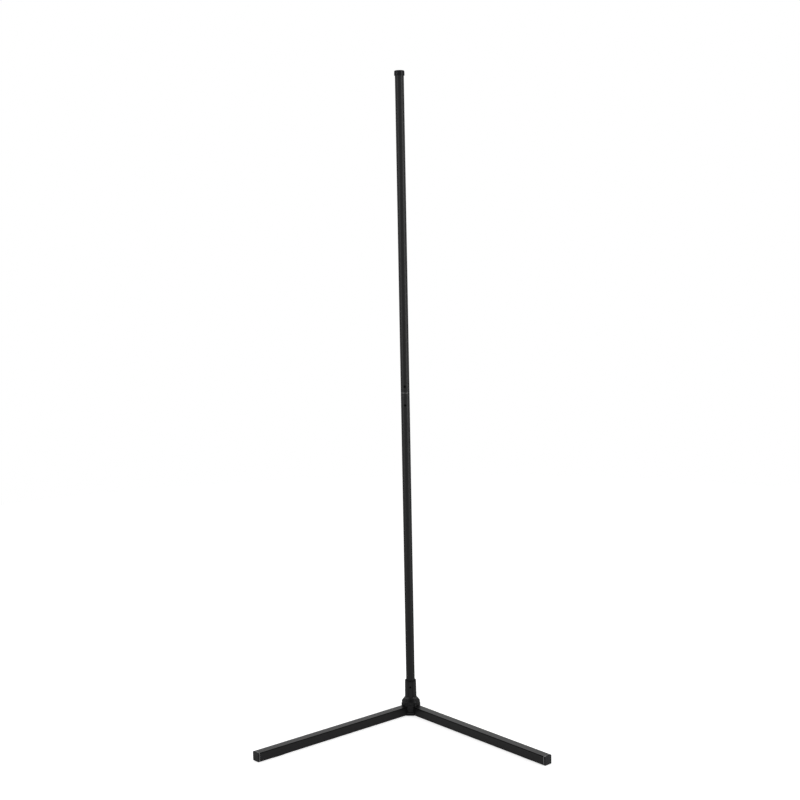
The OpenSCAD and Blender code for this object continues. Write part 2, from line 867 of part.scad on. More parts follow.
module leg_plug(side) {
    insert_w = tube_bore - 2 * fit_gap;
    start = leg_reach + seat_gap;
    color("#1b1c1f") on_leg(side) {
        along_leg(start - plug_insert, plug_insert + eps) difference() {
            square([insert_w, insert_w], center = true);
            square([insert_w - 2 * plug_wall, insert_w - 2 * plug_wall], center = true);
        }
        // the flange's outer edges are rounded, and its inner edges have a small bevel
        translate([start + plug_flange / 2, 0, tube_mid]) rotate([0, 90, 0]) hull() {
            for (x = [-1, 1], y = [-1, 1]) translate([x, y, 0] * (leg_size / 2 - leg_corner)) {
                translate([0, 0, -plug_flange / 2])
                    cylinder(r1 = leg_corner - plug_bevel, r2 = leg_corner, h = plug_bevel_h, $fn = 32);
                translate([0, 0, plug_flange / 2 - leg_corner]) sphere(leg_corner, $fn = 32);
            }
        }
    }
}

module left_leg_plug() leg_plug(-1);

module right_leg_plug() leg_plug(1);

// ---- the pads ----

module hub_pad() {
    color("#101010") cylinder(d = hub_pad_d, h = pad_t - seat_gap / 2);
}

module leg_pads() {
    color("#101010") for (side = [-1, 1]) on_leg(side)
        translate([leg_reach - leg_pad_inset - leg_pad_len, -leg_pad_w / 2, 0])
            cube([leg_pad_len, leg_pad_w, pad_t - seat_gap / 2]);
}

// ---- drawing ----

top_cap();
upper_channel();
lower_channel();
upper_diffuser();
lower_diffuser();
joiner_bar();
joiner_screws();
upper_light_strip();
upper_light_chips();
lower_light_strip();
lower_light_chips();
seam_socket();
seam_plug();
seam_pins();
pole_foot();
feed_socket();
feed_pin();
pole_wires();
feed_plug();
feed_lead();
neck_socket();
neck_bush();
neck_grub_screw();
socket_screws();
hub_base();
control_board();
board_parts();
inlet_jack();
inlet_pin();
inlet_wires();
left_leg_tube();
right_leg_tube();
left_leg_plug();
right_leg_plug();
leg_screws();
base_cover();
cover_screws();
hub_pad();
leg_pads();
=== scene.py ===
# %% [markdown]
# # A corner floor lamp
# The lamp is a slim round pole of black aluminium that stands in a low base with two square legs. A
# long diffuser is let into the side of the pole that faces the corner, and it glows in a rainbow
# from top to bottom. The construction is already in place at its real size. This file adds the
# looks: the camera, a plain studio, finishes made of nodes, and finer meshes for the pieces that
# show.

# %% Load the construction
import json
import math

import bmesh
import bpy
from mathutils import Matrix, Vector


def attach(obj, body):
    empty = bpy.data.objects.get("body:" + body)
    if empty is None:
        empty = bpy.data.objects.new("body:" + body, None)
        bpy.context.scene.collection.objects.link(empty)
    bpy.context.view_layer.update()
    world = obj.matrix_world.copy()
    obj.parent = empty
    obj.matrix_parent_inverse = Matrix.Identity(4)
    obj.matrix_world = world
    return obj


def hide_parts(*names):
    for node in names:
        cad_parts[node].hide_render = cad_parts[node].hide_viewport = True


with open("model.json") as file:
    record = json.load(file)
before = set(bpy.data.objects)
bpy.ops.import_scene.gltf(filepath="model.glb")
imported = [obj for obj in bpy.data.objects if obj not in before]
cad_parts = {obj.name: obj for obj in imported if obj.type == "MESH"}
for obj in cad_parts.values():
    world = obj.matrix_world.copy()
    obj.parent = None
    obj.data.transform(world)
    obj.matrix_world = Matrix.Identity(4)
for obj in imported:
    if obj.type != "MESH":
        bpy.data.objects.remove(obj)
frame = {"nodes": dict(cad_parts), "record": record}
scene = bpy.context.scene
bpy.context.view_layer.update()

# %% [markdown]
# ## Camera
# The camera stands where the photographer stood: a little above the middle of the pole, almost in
# front, and tipped down by about seven degrees. A focal length in pixels turns into a lens in
# millimetres by the width of the sensor, so the view doesn't depend on the size that the picture is
# rendered at.

# %% Camera
PHOTO_WIDTH_PX = 800
FOCAL_PX = 1368.2
SENSOR_MM = 36.0
CAMERA_AT = Vector((0.2250, -2.9309, 1.0560))
CAMERA_HEADING = math.radians(4.614)
CAMERA_TILT_DOWN = math.radians(6.875)
CAMERA_ROLL = math.radians(-1.085)

camera_data = bpy.data.cameras.new("camera")
camera_data.sensor_width = SENSOR_MM
camera_data.lens = SENSOR_MM * FOCAL_PX / PHOTO_WIDTH_PX
camera = bpy.data.objects.new("camera", camera_data)
scene.collection.objects.link(camera)
camera.matrix_world = (
    Matrix.Translation(CAMERA_AT)
    @ Matrix.Rotation(CAMERA_HEADING, 4, "Z")
    @ Matrix.Rotation(math.pi / 2 - CAMERA_TILT_DOWN, 4, "X")
    @ Matrix.Rotation(CAMERA_ROLL, 4, "Z")
)
scene.camera = camera
print("lens:", round(camera_data.lens, 2), "mm")

# %% [markdown]
# ## Studio
# The photo has a pure white background, so the world is white wherever the camera looks. A satin
# black lamp shows little colour of its own: what the eye sees is the studio in its skin. The tops
# of the legs are pale because they mirror the white backdrop at a flat angle, and the rounded edge
# below them is dark because it mirrors the ceiling. So the world has white walls and a dark ceiling
# for reflections, and for diffuse light it is one even, dim fill, in which the pieces keep the
# colours that they are given. All of that is a tree of nodes, as every finish is, so a few helpers
# that add and link nodes come first.

# %% Node helpers
def opaque(color):
    """A colour with its alpha, as sockets and ramps want it."""
    return (*color, 1.0)


def add_node(tree, kind, inputs=None, **settings):
    """Adds a shader node with its settings. An input, by name or number, is linked or set."""
    node = tree.nodes.new("ShaderNode" + kind)
    for name, value in settings.items():
        setattr(node, name, value)
    for name, value in (inputs or {}).items():
        if isinstance(value, bpy.types.NodeSocket):
            tree.links.new(value, node.inputs[name])
        else:
            node.inputs[name].default_value = value
    return node


def math_of(tree, operation, *values):
    """One step of arithmetic on sockets or numbers."""
    return add_node(tree, "Math", dict(enumerate(values)), operation=operation).outputs[0]


def ranged(tree, value, from_low=0.0, from_high=1.0, to_low=0.0, to_high=1.0):
    """A socket that goes from to_low to to_high while the value goes from from_low to from_high."""
    inputs = {"Value": value, "From Min": from_low, "From Max": from_high}
    inputs |= {"To Min": to_low, "To Max": to_high}
    return add_node(tree, "MapRange", inputs).outputs[0]


def seen_directly(tree):
    """A socket that is 1 for the camera's own rays and for what shines or shows through, else 0."""
    rays = add_node(tree, "LightPath").outputs
    either = math_of(tree, "MAXIMUM", rays["Is Camera Ray"], rays["Is Glossy Ray"])
    return math_of(tree, "MAXIMUM", either, rays["Is Transmission Ray"])


print("node helpers ready")

# %% The world
WORLD_FILL = 0.42
CEILING = 0.12
WALL_TOP, CEILING_EDGE = 0.55, 0.86
WHITE = (1.0, 1.0, 1.0)

world = bpy.data.worlds.new("studio")
world.use_nodes = True
scene.world = world
tree = world.node_tree
background = tree.nodes["Background"]
background.inputs["Color"].default_value = opaque(WHITE)

direction = add_node(tree, "TexCoord").outputs["Generated"]
upward = add_node(tree, "SeparateXYZ", {0: direction}).outputs["Z"]
room = ranged(tree, upward, WALL_TOP, CEILING_EDGE, 1.0, CEILING)
mirrored_ray = add_node(tree, "LightPath").outputs["Is Glossy Ray"]
shown_white = ranged(tree, mirrored_ray, to_low=1.0, to_high=room)
level = ranged(tree, seen_directly(tree), to_low=WORLD_FILL, to_high=shown_white)
tree.links.new(level, background.inputs["Strength"])
print("world fill:", WORLD_FILL)

# %% [markdown]
# ## Floor
# The floor is a disc. It is pale, and a little light of its own lifts it to the white of the world
# where the camera sees it, so it has no edge. It still takes the shadow of the legs, because only
# part of its brightness comes from itself. Reflections see less of that light: the lower half of
# the pole and the fronts of the legs mirror the floor, and in the photo they are a little darker
# than the upper half.

# %% Floor
FLOOR_RADIUS = 3.0
FLOOR_COLOR = (0.82, 0.82, 0.82)
FLOOR_LIFT, MIRRORED_LIFT = 0.66, 0.25

floor_finish = bpy.data.materials.new("floor_white")
floor_finish.use_nodes = True
tree = floor_finish.node_tree
tree.nodes.remove(tree.nodes["Principled BSDF"])
mirrored_ray = add_node(tree, "LightPath").outputs["Is Glossy Ray"]
lift = ranged(tree, mirrored_ray, to_low=FLOOR_LIFT, to_high=MIRRORED_LIFT)
own_level = math_of(tree, "MULTIPLY", lift, seen_directly(tree))
own_light = add_node(tree, "Emission", {"Color": opaque(WHITE), "Strength": own_level})
lit = add_node(tree, "BsdfDiffuse", {"Color": opaque(FLOOR_COLOR)})
both = add_node(tree, "AddShader", {0: lit.outputs[0], 1: own_light.outputs[0]})
tree.links.new(both.outputs[0], tree.nodes["Material Output"].inputs["Surface"])

bm = bmesh.new()
bmesh.ops.create_circle(bm, cap_ends=True, radius=FLOOR_RADIUS, segments=96)
floor_mesh = bpy.data.meshes.new("floor")
bm.to_mesh(floor_mesh)
bm.free()
floor_mesh.materials.append(floor_finish)
floor = bpy.data.objects.new("floor", floor_mesh)
scene.collection.objects.link(floor)
print("floor radius:", FLOOR_RADIUS)

# %% [markdown]
# ## Softboxes
# Two tall softboxes stand at the front left and the front right. Each draws one soft vertical band
# on the round pole, halfway between its middle and its edge, as in the photo. The camera doesn't
# see them.

# %% Softboxes
SOFTBOX_WIDTH, SOFTBOX_HEIGHT = 0.6, 2.2
SOFTBOX_AIM = Vector((0, 0, 0.7))
SOFTBOXES = [("softbox_left", (-1.95, -1.45, 1.1), 22), ("softbox_right", (2.25, -1.1, 1.1), 37)]

for name, stands_at, watts in SOFTBOXES:
    data = bpy.data.lights.new(name, "AREA")
    data.shape = "RECTANGLE"
    data.size, data.size_y = SOFTBOX_WIDTH, SOFTBOX_HEIGHT
    data.energy = watts
    lamp = bpy.data.objects.new(name, data)
    lamp.location = stands_at
    lamp.rotation_euler = (SOFTBOX_AIM - Vector(stands_at)).to_track_quat("-Z", "Y").to_euler()
    lamp.visible_camera = False
    scene.collection.objects.link(lamp)
print("lamps:", [name for name, _, _ in SOFTBOXES])

# %% [markdown]
# ## Finishes
# A real black lamp isn't one black. Powder coat on the pole has fine sparkle, the cast neck has a
# softer skin, the moulded caps are smoother and a little blue, and rubber is dull. Each finish is a
# Principled shader whose colour, roughness and bump come from noise, at the scale of the real
# grain. The textures read object coordinates, which are metres in the lamp's own frame here,
# because every piece has its origin where the lamp has its own. The grain of a satin skin hides its
# own highlights where it is seen edge-on. That is why the pole has a dark outline against the
# white, and why the shine fades there.

# %% Helpers for finishes
NOISE_DARK, NOISE_LIGHT = 0.3, 0.7
PER_METRE = 1000.0


def coordinates(tree):
    """Object coordinates, in metres."""
    return add_node(tree, "TexCoord").outputs["Object"]


def new_finish(name, metallic=0.0, specular=0.5):
    """A material with a Principled shader. Returns (material, tree, shader, coordinates)."""
    finish = bpy.data.materials.new(name)
    finish.use_nodes = True
    tree = finish.node_tree
    shader = tree.nodes["Principled BSDF"]
    shader.inputs["Metallic"].default_value = metallic
    shader.inputs["Specular IOR Level"].default_value = specular
    return finish, tree, shader, coordinates(tree)


def grain(tree, where, size_mm, detail=2.0, stretch=(1.0, 1.0, 1.0)):
    """Noise with features of about size_mm. A stretch below 1 draws it out along that axis."""
    scaled = add_node(tree, "Mapping", {"Vector": where, "Scale": stretch}).outputs[0]
    inputs = {"Vector": scaled, "Scale": PER_METRE / size_mm, "Detail": detail}
    return add_node(tree, "TexNoise", inputs).outputs["Fac"]


def between(tree, share, low, high, socket):
    """Drives a socket from low to high as noise goes from its usual dark to its usual light."""
    tree.links.new(ranged(tree, share, NOISE_DARK, NOISE_LIGHT, low, high), socket)


def two_tones(tree, share, dark, light):
    """A colour that wanders between two tones with the noise."""
    ramp = add_node(tree, "ValToRGB", {"Fac": share})
    wanted = ((NOISE_DARK, dark), (NOISE_LIGHT, light))
    for stop, (position, color) in zip(ramp.color_ramp.elements, wanted):
        stop.position, stop.color = position, opaque(color)
    return ramp.outputs["Color"]


def relief(tree, shader, height, depth_mm):
    """Bump from a height socket, with a real depth."""
    bump = add_node(tree, "Bump", {"Height": height, "Distance": depth_mm / PER_METRE})
    tree.links.new(bump.outputs[0], shader.inputs["Normal"])


def shade(color, factor):
    """The same colour, lighter or darker."""
    return tuple(min(channel * factor, 1.0) for channel in color)


print("noise runs from", NOISE_DARK, "to", NOISE_LIGHT)

# %% Helpers for patches
FADE_FROM, FADE_TO = 0.30, 0.58
FADED_SHARE = 0.12


def satin(tree, specular):
    """A shine that fades where the skin turns edge-on."""
    tilt = add_node(tree, "LayerWeight", {"Blend": 0.5}).outputs["Facing"]
    return ranged(tree, tilt, FADE_FROM, FADE_TO, specular, specular * FADED_SHARE)


def near(tree, where, along, at_mm, reach_mm, soft_mm=0.02):
    """A socket that is 1 close to one distance along a direction and fades over the last soft_mm.

    Left and right count alike, so that one finish serves both legs."""
    either_side = add_node(tree, "VectorMath", {0: where}, operation="ABSOLUTE").outputs[0]
    distance = add_node(tree, "VectorMath", {0: either_side, 1: along}, operation="DOT_PRODUCT")
    off = math_of(tree, "SUBTRACT", distance.outputs["Value"], at_mm / PER_METRE)
    inner, outer = (reach_mm - soft_mm) / PER_METRE, reach_mm / PER_METRE
    return ranged(tree, math_of(tree, "ABSOLUTE", off), inner, outer, 1.0, 0.0)


def mixed(tree, share, base, color):
    """Mixes a colour socket with a plain colour, by a share."""
    inputs = {"Factor": share, "A": base, "B": opaque(color)}
    return add_node(tree, "Mix", inputs, data_type="RGBA").outputs["Result"]


def patched(finish, patches, specular=None, fades=True):
    """Gives each patch of a finish a tone of its own, and a share of the shine if that is given.

    The shine of a satin finish also fades edge-on."""
    tree = finish.node_tree
    shader = tree.nodes["Principled BSDF"]
    where = coordinates(tree)
    tone = shader.inputs["Base Color"].links[0].from_socket
    shine = satin(tree, specular) if specular and fades else specular
    for patch, patch_color, patch_shine in patches:
        inside = near(tree, where, *patch)
        tone = mixed(tree, inside, tone, patch_color)
        if specular:
            share = ranged(tree, inside, to_low=1.0, to_high=patch_shine)
            shine = math_of(tree, "MULTIPLY", share, shine)
    tree.links.new(tone, shader.inputs["Base Color"])
    if specular:
        tree.links.new(shine, shader.inputs["Specular IOR Level"])
    return finish


def polished(finish, roughness, patch):
    """Makes one patch of a finish as smooth as asked."""
    tree = finish.node_tree
    socket = tree.nodes["Principled BSDF"].inputs["Roughness"]
    inside = near(tree, coordinates(tree), *patch)
    smoother = ranged(tree, inside, to_low=socket.links[0].from_socket, to_high=roughness)
    tree.links.new(smoother, socket)


def bared(finish, patch):
    """Makes one patch of a finish metallic. Its tone is set with the other patches."""
    tree = finish.node_tree
    inside = near(tree, coordinates(tree), *patch)
    tree.links.new(inside, tree.nodes["Principled BSDF"].inputs["Metallic"])


print("a satin shine fades edge-on to", FADED_SHARE, "of itself")

# %% [markdown]
# ### Powder coat
# Powder coat is melted plastic powder on aluminium. Seen close, it has a fine orange peel, a grain
# a quarter of a millimetre wide, and here and there a speck that catches the light. The specks are
# the cells of a Voronoi texture: only the cells whose random value is high turn light, so they lie
# scattered and not in rows. At the seam the coat is rubbed smooth over the two sawn edges, so a
# hair of it mirrors both softboxes. Along a tube's rounded upper edge the coat is painted darker and
# duller: painted shade for the dark line where that edge mirrors the ceiling. The tubes are sawn
# after coating, which leaves their ends bare. Each of these patches is found by its distance: up the
# pole, or along the leg.

# %% Powder coat
UP_THE_POLE = (0, 0, 1)
ALONG_A_LEG = (math.sqrt(0.5), math.sqrt(0.5), 0)
COAT_GRAIN_MM, COAT_CLOUDS_MM, COAT_RELIEF_MM = 0.28, 2.5, 0.03
SPECK_MM, SPECK_SHARE, SPECK_COLOR = 0.24, 0.8, (0.020, 0.020, 0.021)
LUCKY_FROM, LUCKY_TO = 0.93, 0.99


def powder_coat(name, color, roughness, specular, peel_mm):
    """Satin powder coat with orange peel, fine grain and scattered specks."""
    finish, tree, shader, where = new_finish(name, specular=specular)
    fine = grain(tree, where, COAT_GRAIN_MM, 4.0)
    tone = two_tones(tree, fine, shade(color, 0.55), shade(color, 1.5))
    cells = add_node(tree, "TexVoronoi", {"Vector": where, "Scale": PER_METRE / SPECK_MM})
    luck = add_node(tree, "SeparateColor", {0: cells.outputs["Color"]}).outputs[0]
    speck = ranged(tree, luck, LUCKY_FROM, LUCKY_TO, to_high=SPECK_SHARE)
    tree.links.new(mixed(tree, speck, tone, SPECK_COLOR), shader.inputs["Base Color"])
    clouds = grain(tree, where, COAT_CLOUDS_MM)
    between(tree, clouds, roughness - 0.05, roughness + 0.05, shader.inputs["Roughness"])
    peel = math_of(tree, "MULTIPLY_ADD", fine, 0.5, grain(tree, where, peel_mm))
    relief(tree, shader, peel, COAT_RELIEF_MM)
    return finish


POLE_BLACK, LEG_BLACK = (0.0064, 0.0064, 0.0067), (0.0043, 0.0043, 0.0045)
POLE_SPECULAR, LEG_SPECULAR = 0.18, 0.17
# A patch is its place (direction, distance, reach and softness in mm), its colour and its share of
# the shine.
SEAM = (UP_THE_POLE, 717.6, 0.55)
SEAM_CUT, SEAM_ROUGHNESS = (SEAM, (0.010, 0.010, 0.010), 9.5), 0.20
TUBE_END = (ALONG_A_LEG, 414.0, 0.28)
TUBE_CUT = (TUBE_END, (0.55, 0.55, 0.56), 1.0)
# Painted shade: the tubes' rounded upper edge is painted darker and duller, for the dark line where
# it mirrors the ceiling.
TUBE_EDGE_PAINTED_SHADE = ((UP_THE_POLE, 19.7, 0.75, 0.15), (0.0012, 0.0012, 0.0013), 0.15)

pole_coat = powder_coat("pole_powder_coat", POLE_BLACK, 0.40, POLE_SPECULAR, 1.2)
polished(pole_coat, SEAM_ROUGHNESS, SEAM)
leg_coat = powder_coat("leg_powder_coat", LEG_BLACK, 0.32, LEG_SPECULAR, 1.6)
bared(leg_coat, TUBE_END)
FINISHES = {
    "channel_black": patched(pole_coat, [SEAM_CUT], POLE_SPECULAR),
    "tube_black": patched(leg_coat, [TUBE_EDGE_PAINTED_SHADE, TUBE_CUT], LEG_SPECULAR, fades=False),
}
print("powder coats:", sorted(FINISHES))

# %% [markdown]
# ### Paint on a casting, and moulded plastic
# The neck and the hub are castings under satin paint: the paint has softened the sand's texture
# into low, wide hills. Moulded plastic is finer. Its grain is etched into the mould, and long flow
# marks change its shine a little. One function makes both, with two sizes of grain. Wet paint
# gathers in the hollow at the foot of the neck and dries smoother there, so that hollow mirrors the
# two softboxes as two small spots. The neck's wall, where a hand holds it, has rubbed a little
# shinier. The cover's upper band is painted lighter and glossier than the hub: a painted highlight
# along the hub's lower edge, above the cover's dark, dull foot. The rim of an end plug is painted
# darker and duller than its face: painted shade for the gap between the plug and the tube.

# %% Painted and moulded finishes
def skin(name, color, roughness, specular, fine_mm, wide_mm, depth_mm):
    """A skin in which wide hills change tone and shine, and a fine grain makes the relief."""
    finish, tree, shader, where = new_finish(name, specular=specular)
    wide = grain(tree, where, wide_mm)
    tone = two_tones(tree, wide, shade(color, 0.85), shade(color, 1.2))
    tree.links.new(tone, shader.inputs["Base Color"])
    between(tree, wide, roughness - 0.04, roughness + 0.06, shader.inputs["Roughness"])
    hills = math_of(tree, "ADD", grain(tree, where, fine_mm, 4.0), wide)
    relief(tree, shader, hills, depth_mm)
    return finish


CAST, MOULDED = (0.0053, 0.0053, 0.0055), (0.0120, 0.0122, 0.0132)
CAST_SPECULAR, MOULDED_SPECULAR, COVER_SPECULAR = 0.17, 0.18, 0.08
HOLLOW, HOLLOW_ROUGHNESS = (UP_THE_POLE, 37.0, 1.3, 1.0), 0.14
NECK_HOLLOW = (HOLLOW, CAST, 4.2)
NECK_WALL = ((UP_THE_POLE, 58.0, 17.0, 3.0), (0.0034, 0.0034, 0.0036), 1.4)
# Painted highlight: the cover's upper band is lighter and glossier than the hub, for the light along
# the hub's lower edge.
COVER_BAND_PAINTED_HIGHLIGHT = ((UP_THE_POLE, 6.6, 1.6, 0.3), (0.0090, 0.0090, 0.0094), 3.0)
# Painted shade: the plug's rim next to the tube is darker and duller, for the shadow gap between plug
# and tube.
PLUG_RIM_PAINTED_SHADE = ((ALONG_A_LEG, 415.1, 1.4, 0.4), (0.0022, 0.0022, 0.0024), 0.4)
CAP_WALL = ((UP_THE_POLE, 1392.0, 9.0), (0.0034, 0.0036, 0.0045), 0.70)

cast_paint = skin("neck_cast_paint", CAST, 0.25, CAST_SPECULAR, 0.9, 5.0, 0.03)
patched(cast_paint, [NECK_HOLLOW, NECK_WALL], CAST_SPECULAR)
polished(cast_paint, HOLLOW_ROUGHNESS, HOLLOW)
plastic = skin("cap_moulded_plastic", MOULDED, 0.30, MOULDED_SPECULAR, 0.5, 2.2, 0.03)
patched(plastic, [PLUG_RIM_PAINTED_SHADE, CAP_WALL], MOULDED_SPECULAR)
cover_plastic = skin(
    "cover_plastic", (0.0024, 0.0024, 0.0026), 0.50, COVER_SPECULAR, 0.5, 8.0, 0.03
)
patched(cover_plastic, [COVER_BAND_PAINTED_HIGHLIGHT], COVER_SPECULAR, fades=False)
FINISHES |= {"cast_black": cast_paint, "moulded_black": plastic, "cover_black": cover_plastic}
print("painted and moulded:", sorted(FINISHES))

# %% Plain skins
# Each row: slot, name, colour, roughness, shine, and the fine grain, wide grain and depth in mm.
PLAIN_SKINS = [
    ("collar_black", "collar_plastic", (0.0040, 0.0040, 0.0042), 0.30, 0.14, 0.4, 4.0, 0.02),
    ("component_black", "component_epoxy", (0.012, 0.012, 0.013), 0.55, 0.4, 0.2, 3.0, 0.01),
    ("connector_white", "connector_nylon", (0.80, 0.80, 0.77), 0.40, 0.5, 0.3, 4.0, 0.01),
    ("chip_white", "light_chip", (0.86, 0.80, 0.46), 0.30, 0.5, 0.3, 2.0, 0.01),
    ("wire_red", "wire_insulation_red", (0.42, 0.03, 0.025), 0.40, 0.5, 0.6, 6.0, 0.01),
    ("lead_black", "lead_insulation", (0.014, 0.014, 0.015), 0.45, 0.5, 0.6, 6.0, 0.01),
    # Partly painted shade: the screws are darker and duller than black oxide, so the holes round them
    # look black.
    ("screw_black", "screw_black_oxide", (0.0010, 0.0010, 0.0011), 0.60, 0.03, 0.3, 2.0, 0.01),
]
for slot, *recipe in PLAIN_SKINS:
    FINISHES[slot] = skin(*recipe)
print("finishes so far:", len(FINISHES))

# %% [markdown]
# ### Rubber, metals and the board
# Rubber is dull and dusty. Bare metal is the other way round: almost no colour variation, but its
# roughness is drawn out in the direction in which it was rolled, drawn or brushed, so the noise is
# stretched. The control board shows its green lacquer over paler copper tracks. The joiner bar is
# painted near-black round its two screws, as painted shade inside the holes, so the holes in the
# pole's back look black right across.

# %% Rubber, metal and board finishes
DRAWN_MARKS = (1.0, 1.0, 0.04)
EVEN_MARKS = (1.0, 1.0, 1.0)


def rubber(name, color, dust_color):
    """Dull rubber with a thin, uneven film of dust."""
    finish, tree, shader, where = new_finish(name, specular=0.25)
    dust = grain(tree, where, 3.0, 5.0)
    tree.links.new(two_tones(tree, dust, color, dust_color), shader.inputs["Base Color"])
    between(tree, dust, 0.78, 0.92, shader.inputs["Roughness"])
    relief(tree, shader, grain(tree, where, 0.5, 3.0), 0.04)
    return finish


def bare_metal(name, color, roughness, drawn_out=DRAWN_MARKS):
    """Bare metal with fine marks along the direction in which it was drawn."""
    finish, tree, shader, where = new_finish(name, metallic=1.0)
    marks = grain(tree, where, 0.25, 3.0, drawn_out)
    tone = two_tones(tree, marks, shade(color, 0.92), shade(color, 1.05))
    tree.links.new(tone, shader.inputs["Base Color"])
    between(tree, marks, roughness - 0.05, roughness + 0.08, shader.inputs["Roughness"])
    relief(tree, shader, marks, 0.004)
    return finish


def circuit_board(name, lacquer, tracks, line_mm):
    """Lacquer over a net of copper tracks, drawn by the mortar of a brick texture."""
    finish, tree, shader, where = new_finish(name)
    inputs = {"Vector": where, "Scale": PER_METRE / line_mm, "Mortar Size": 0.06}
    inputs |= {"Color1": opaque(lacquer), "Color2": opaque(shade(lacquer, 1.2))}
    net = add_node(tree, "TexBrick", inputs | {"Mortar": opaque(tracks)})
    tree.links.new(net.outputs["Color"], shader.inputs["Base Color"])
    between(tree, grain(tree, where, 1.5), 0.28, 0.40, shader.inputs["Roughness"])
    relief(tree, shader, net.outputs["Fac"], 0.02)
    return finish


LOWER_HOLE_Z, UPPER_HOLE_Z = 690.6, 731.3
# Painted shade: near-black patches on the joiner bar round both screws, so the holes in the pole look
# black inside.
HOLE_PAINTED_SHADE, HOLE_SHADE_REACH = (0.0012, 0.0012, 0.0013), 5.0
HOLE_SHADE_PATCHES = [
    ((UP_THE_POLE, z, HOLE_SHADE_REACH), HOLE_PAINTED_SHADE, 1.0) for z in (LOWER_HOLE_Z, UPPER_HOLE_Z)
]

FINISHES |= {
    "pad_rubber": rubber("pad_rubber", (0.010, 0.010, 0.010), (0.030, 0.029, 0.027)),
    "contact_brass": bare_metal("contact_brass", (0.76, 0.58, 0.25), 0.22),
    "sleeve_steel": bare_metal("sleeve_steel", (0.60, 0.61, 0.63), 0.28),
    "bar_aluminium": bare_metal("bar_aluminium", (0.72, 0.73, 0.75), 0.34),
    "screw_zinc": bare_metal("screw_zinc", (0.54, 0.55, 0.56), 0.32, EVEN_MARKS),
    "board_green": circuit_board("control_board", (0.012, 0.11, 0.035), (0.07, 0.24, 0.08), 1.6),
    "strip_white": circuit_board("light_strip", (0.80, 0.80, 0.76), (0.62, 0.60, 0.50), 5.0),
}
patched(FINISHES["bar_aluminium"], HOLE_SHADE_PATCHES)
print("finishes so far:", len(FINISHES))

# %% [markdown]
# ### The glowing diffuser
# Behind the diffuser, chips of changing colour shine through milky plastic, so what shows is one
# smooth rainbow over the whole height. The height of each point goes through a colour ramp into the
# emission. The plastic's own colour stays dark and strong, because the light from inside drowns the
# room's light.

# %% Rainbow diffuser
RAINBOW_TOP_MM = 1398.0
RAINBOW_FOOT_MM = 56.0
RAINBOW = [
    ("sea_green", 0.00, (0.002, 1.00, 0.50)),
    ("spring_green", 0.10, (0.014, 1.00, 0.13)),
    ("green", 0.18, (0.040, 1.00, 0.015)),
    ("lime", 0.27, (0.115, 0.97, 0.00)),
    ("chartreuse", 0.36, (0.35, 0.88, 0.00)),
    ("yellow", 0.45, (0.75, 0.72, 0.00)),
    ("amber", 0.52, (1.00, 0.53, 0.001)),
    ("orange", 0.60, (1.00, 0.26, 0.03)),
    ("coral", 0.68, (1.00, 0.07, 0.17)),
    ("hot_pink", 0.77, (1.00, 0.002, 0.45)),
    ("magenta", 0.88, (0.90, 0.00, 0.66)),
    ("violet_pink", 1.00, (0.70, 0.00, 0.79)),
]
GLOW = 1.0
UNLIT_SHARE = (0.06, 0.06, 0.06)


def glowing_diffuser(name):
    """Milky plastic lit from inside: the height on the pole picks the colour of the light."""
    finish, tree, shader, where = new_finish(name, specular=0.03)
    height = add_node(tree, "SeparateXYZ", {0: where}).outputs["Z"]
    share = ranged(tree, height, RAINBOW_FOOT_MM / PER_METRE, RAINBOW_TOP_MM / PER_METRE)
    ramp = add_node(tree, "ValToRGB", {"Fac": share})
    stops = ramp.color_ramp.elements
    while len(stops) < len(RAINBOW):
        stops.new(0.5)
    for stop, (_, position, color) in zip(stops, RAINBOW):
        stop.position, stop.color = position, opaque(color)
    light = ramp.outputs["Color"]
    tree.links.new(light, shader.inputs["Emission Color"])
    shader.inputs["Emission Strength"].default_value = GLOW
    inputs = {"Factor": 1.0, "A": light, "B": opaque(UNLIT_SHARE)}
    dim = add_node(tree, "Mix", inputs, data_type="RGBA", blend_type="MULTIPLY")
    tree.links.new(dim.outputs["Result"], shader.inputs["Base Color"])
    between(tree, grain(tree, where, 4.0), 0.50, 0.58, shader.inputs["Roughness"])
    relief(tree, shader, grain(tree, where, 0.6), 0.01)
    return finish


FINISHES["upper_lens"] = FINISHES["lower_lens"] = glowing_diffuser("milky_diffuser")
print("rainbow:", [name for name, _, _ in RAINBOW])

# %% [markdown]
# ### Finishes for every node
# Each node names a material slot in the record. This gives every node the finish of its slot, so
# that nothing keeps the plain colour that it was packed with, not even a pin that only shows when
# the lamp is taken apart.

# %% Give every node its finish
slot_of = {part["node"]: part["material_slot"] for part in frame["record"]["subparts"]}
for name, part in frame["nodes"].items():
    part.data.materials.clear()
    part.data.materials.append(FINISHES[slot_of[name]])
print("slots in use:", len(set(slot_of.values())))

# %% [markdown]
# ## Finer pieces
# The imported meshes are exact, but their edges are knife-sharp and their curves have few sides. Real
# edges are rounded, and the thin bright line on them says what size a thing is. So the pieces that
# show are made again here, in the same place and size, with rounded edges. All sizes are in
# millimetres.

# %% Rounded outlines
MM = 0.001


def rounded(corners, steps=4, closed=True):
    """Turns corners (x, y, radius) into an outline with each corner rounded by its radius."""
    outline = []
    count = len(corners)
    for i, (x, y, radius) in enumerate(corners):
        corner = Vector((x, y))
        is_end = not closed and i in (0, count - 1)
        if radius <= 0 or is_end:
            outline.append(corner)
            continue
        before = Vector(corners[i - 1][:2])
        after = Vector(corners[(i + 1) % count][:2])
        into = (before - corner).normalized()
        out = (after - corner).normalized()
        turn = math.pi - into.angle(out)
        reach = radius * math.tan(turn / 2)
        first, last = corner + into * reach, corner + out * reach
        for k in range(steps + 1):
            t = k / steps
            outline.append(first * (1 - t) ** 2 + corner * 2 * t * (1 - t) + last * t**2)
    return outline


